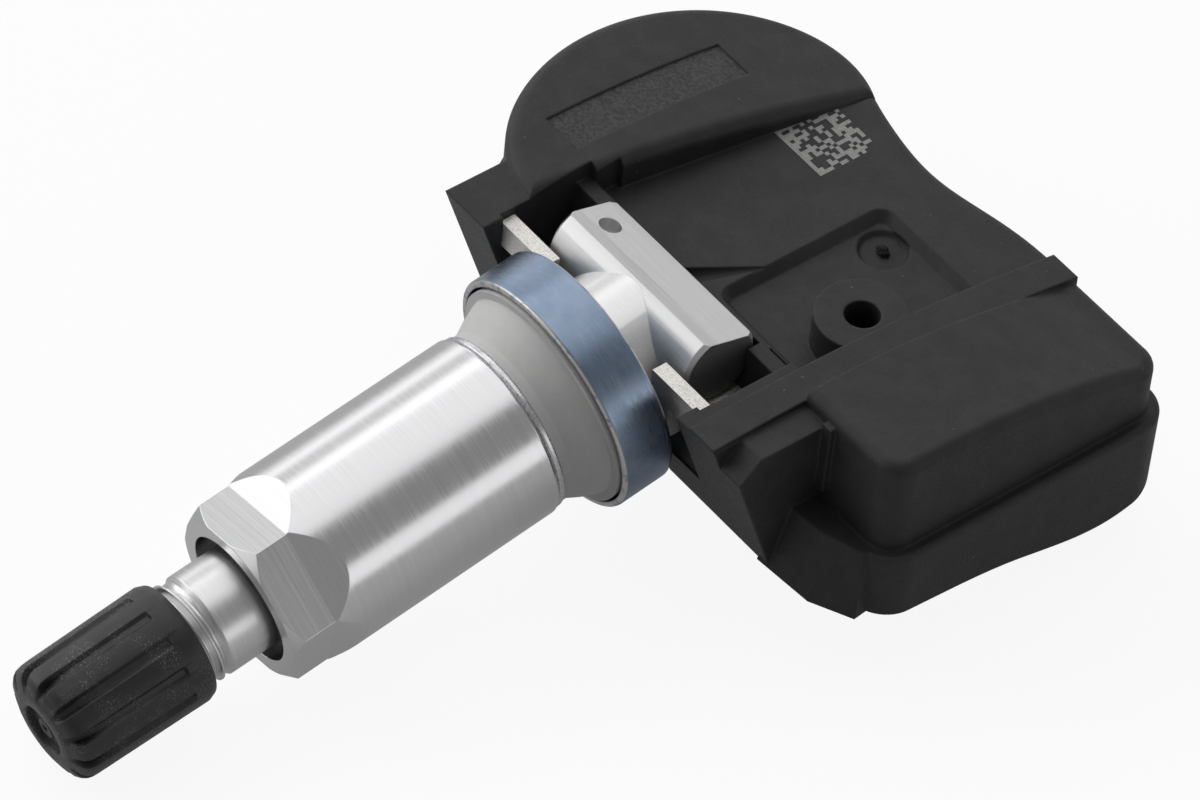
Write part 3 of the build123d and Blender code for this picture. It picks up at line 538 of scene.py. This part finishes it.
def add_piece(name, mesh, body, material):
    """A new piece of the object, made from a bmesh, that rides on a body."""
    data = bpy.data.meshes.new(name)
    mesh.to_mesh(data)
    mesh.free()
    data.materials.append(material)
    piece = placed(name, data)
    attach(piece, body)
    return piece


def stem_point(distance, radius, angle):
    """Point at a distance along the stem, a radius from its axis and an angle round it."""
    outward = math.cos(angle) * Vector((1, 0, 0)) + math.sin(angle) * ACROSS_UP
    return STEM_ORIGIN + distance * TOWARD_CAP + radius * outward


def marked_square(material):
    """A square of small pale cells, marked on the valley's floor in a chance order."""
    chance = random.Random(MARK_SEED)
    mesh = bmesh.new()
    cell = MARK_SIDE / MARK_CELLS
    first = MARK_CENTRE + Vector((cell - MARK_SIDE, cell - MARK_SIDE, 0)) / 2
    height = VALLEY_TOP + MARK_THICKNESS / 2
    for row in range(MARK_CELLS):
        for column in range(MARK_CELLS):
            on_border = row == 0 or column == 0
            if not on_border and chance.random() < MARK_GAPS:
                continue
            centre = first + Vector((column * cell, row * cell, height))
            size = Matrix.Diagonal((cell, cell, MARK_THICKNESS, 1))
            bmesh.ops.create_cube(mesh, size=1, matrix=Matrix.Translation(centre) @ size)
    add_piece("marked_square", mesh, "housing", material)


def gate_stub(material):
    """Torn stub of plastic in the gate's dish."""
    mesh = bmesh.new()
    bmesh.ops.create_icosphere(
        mesh, subdivisions=GATE_STUB_SUBDIVISIONS, radius=GATE_STUB_RADIUS)
    for vertex in mesh.verts:
        chance = noise.fractal(vertex.co / GATE_STUB_GRAIN + GATE_STUB_CHANCE, 0.7, 2.1, 5)
        swell = 1 + GATE_STUB_ROUGHNESS * chance
        vertex.co = vertex.co * GATE_STUB_SHAPE * swell + GATE_CENTRE
    add_piece("gate_stub", mesh, "housing", material)


def ribbed_cap(material):
    """The cap, with broad ribs whose grooves deepen towards its rounded tip."""
    mesh = bmesh.new()
    columns = CAP_RIBS * CAP_RIB_FACETS
    last = None
    for place, rib, groove in CAP_SKIN[::-1] + tuple((s, r, r) for s, r in CAP_BORE):
        row = []
        for column in range(columns if rib else 1):
            from_groove = abs((column / CAP_RIB_FACETS + 0.5) % 1 - 0.5)
            share = min(1, max(0, 2 - 2 * from_groove / CAP_GROOVE_HALF))
            share = share * share * (3 - 2 * share)
            radius = rib + (groove - rib) * share
            angle = 2 * math.pi * column / columns
            row.append(mesh.verts.new(stem_point(place * MM, radius * MM, angle)))
        for column in range(columns if last else 0):
            after = (column + 1) % columns
            if len(last) == 1:
                mesh.faces.new((last[0], row[after], row[column]))
            elif len(row) == 1:
                mesh.faces.new((last[column], last[after], row[0]))
            else:
                mesh.faces.new((last[column], last[after], row[after], row[column]))
        last = row
    bmesh.ops.recalc_face_normals(mesh, faces=mesh.faces)
    for face in mesh.faces:
        face.smooth = True
    for edge in mesh.edges:
        if len(edge.link_faces) == 2 and edge.calc_face_angle() > CREASE_ANGLE:
            edge.smooth = False
    piece = add_piece("ribbed_cap", mesh, "cap", material)
    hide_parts("valve_cap")


def stem_thread(material):
    """Thread on the stem's end: one ridge that winds round it and fades in at its start."""
    mesh = bmesh.new()
    steps = round((THREAD_END - THREAD_START) / THREAD_PITCH * THREAD_FACETS)
    last = None
    for step in range(steps + 1):
        turns = step / THREAD_FACETS
        middle = THREAD_START + THREAD_PITCH * turns
        height = (THREAD_CREST - THREAD_ROOT) * min(1, THREAD_FIRST_HEIGHT + turns)
        crest = THREAD_ROOT + height
        profile = (
            (THREAD_ROOT, -0.5), (crest, -THREAD_FLAT), (crest, THREAD_FLAT), (THREAD_ROOT, 0.5))
        section = [
            mesh.verts.new(stem_point(middle + share * THREAD_PITCH, radius, 2 * math.pi * turns))
            for radius, share in profile
        ]
        if last:
            for corner in range(4):
                after = (corner + 1) % 4
                mesh.faces.new((last[corner], last[after], section[after], section[corner]))
        else:
            mesh.faces.new(section)
        last = section
    mesh.faces.new(reversed(last))
    bmesh.ops.recalc_face_normals(mesh, faces=mesh.faces)
    add_piece("stem_thread", mesh, "valve", material)


def coiled_spring():
    """The core's spring: a copy of its node that rides on the valve, in place of the node."""
    node = frame["nodes"]["core_spring"]
    piece = placed("coiled_spring", node.data.copy())
    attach(piece, "valve")
    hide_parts("core_spring")
    places = [(vertex.co - STEM_ORIGIN).dot(TOWARD_CAP) for vertex in node.data.vertices]
    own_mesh(piece)


def stage():
    """Pale floor that the sensor lies on, white to the camera apart from its shadow."""
    floor_mesh = bmesh.new()
    bmesh.ops.create_grid(floor_mesh, x_segments=1, y_segments=1, size=FLOOR_HALF)
    data = bpy.data.meshes.new("floor")
    floor_mesh.to_mesh(data)
    floor_mesh.free()
    material = bpy.data.materials.new("floor")
    material.use_nodes = True
    s = Nodes(material.node_tree)
    diffuse = s.add("BsdfDiffuse")
    diffuse.inputs["Color"].default_value = (FLOOR_GREY, FLOOR_GREY, FLOOR_GREY, 1)
    glow = s.add("Emission")
    glow.inputs["Strength"].default_value = FLOOR_GLOW
    seen = s.seen_share(CAMERA_SHARE, MIRROR_SHARE)
    mixed = s.mix(seen, diffuse.outputs[0], glow.outputs[0])
    s.put(s.add("OutputMaterial").inputs["Surface"], mixed)
    data.materials.append(material)
    floor = placed("floor", data)
    floor.location.z = cad_box[0][2]


def world():
    """Studio round the object: soft grey light, and a white horizon under a darker ceiling."""
    scene_world = bpy.data.worlds.new("studio")
    bpy.context.scene.world = scene_world
    scene_world.use_nodes = True
    s = Nodes(scene_world.node_tree)
    direction = s.add("TexCoord").outputs["Generated"]
    height = s.dot(direction, (0, 0, 1))
    ceiling = s.step(height, CEILING_START, CEILING_FULL, 1.0, CEILING_GREY)
    front = s.step(s.dot(direction, FRONT), FRONT_START, FRONT_FULL, 1.0, CEILING_GREY)
    soft = s.background((*SOFT_LIGHT, 1))
    studio = s.background(s.math("MINIMUM", ceiling, front))
    white = s.background((1, 1, 1, 1))
    lit = s.mix(s.seen_share(1.0, 1.0), soft, studio)
    seen = s.mix(s.add("LightPath").outputs["Is Camera Ray"], lit, white)
    s.put(s.add("OutputWorld").inputs["Surface"], seen)


def softbox(name, direction, distance, width, height, radiance, mirrored):
    """Square lamp that faces the object, with the brightness that its surface shows."""
    data = bpy.data.lights.new(name, "AREA")
    data.shape = "RECTANGLE"
    data.size = width
    data.size_y = height
    data.energy = radiance * math.pi * width * height
    lamp = placed(name, data)
    towards = Vector(direction).normalized()
    lamp.location = towards * distance
    lamp.rotation_euler = towards.to_track_quat("Z", "Y").to_euler()
    lamp.visible_glossy = mirrored


def camera():
    angles = (CAMERA_AZIMUTH, CAMERA_ELEVATION, CAMERA_ROLL)
    azimuth, elevation, roll = (math.radians(angle) for angle in angles)
    level = Vector((math.cos(azimuth), math.sin(azimuth), 0))
    forward = Vector((-math.sin(azimuth), math.cos(azimuth), 0))
    back = math.sin(elevation) * Vector((0, 0, 1)) - math.cos(elevation) * forward
    right = math.cos(roll) * level + math.sin(roll) * back.cross(level)
    turn = Matrix((right, back.cross(right), back)).transposed().to_4x4()
    data = bpy.data.cameras.new("camera")
    data.lens = CAMERA_LENS
    data.sensor_width = SENSOR_WIDTH
    data.clip_start = CLIP_START
    data.clip_end = CLIP_END
    view = placed("camera", data)
    view.matrix_world = Matrix.Translation(CAMERA_TARGET + back * CAMERA_DISTANCE) @ turn
    bpy.context.scene.camera = view


materials = dress_nodes()
marked_square(marked_grey())
gate_stub(materials["housing_plastic"])
stem_thread(materials["valve_aluminium"])
ribbed_cap(materials["cap_plastic"])
coiled_spring()
stage()
world()
for lamp_values in LAMPS:
    softbox(*lamp_values)
camera()
bpy.context.scene.view_settings.view_transform = "Standard"
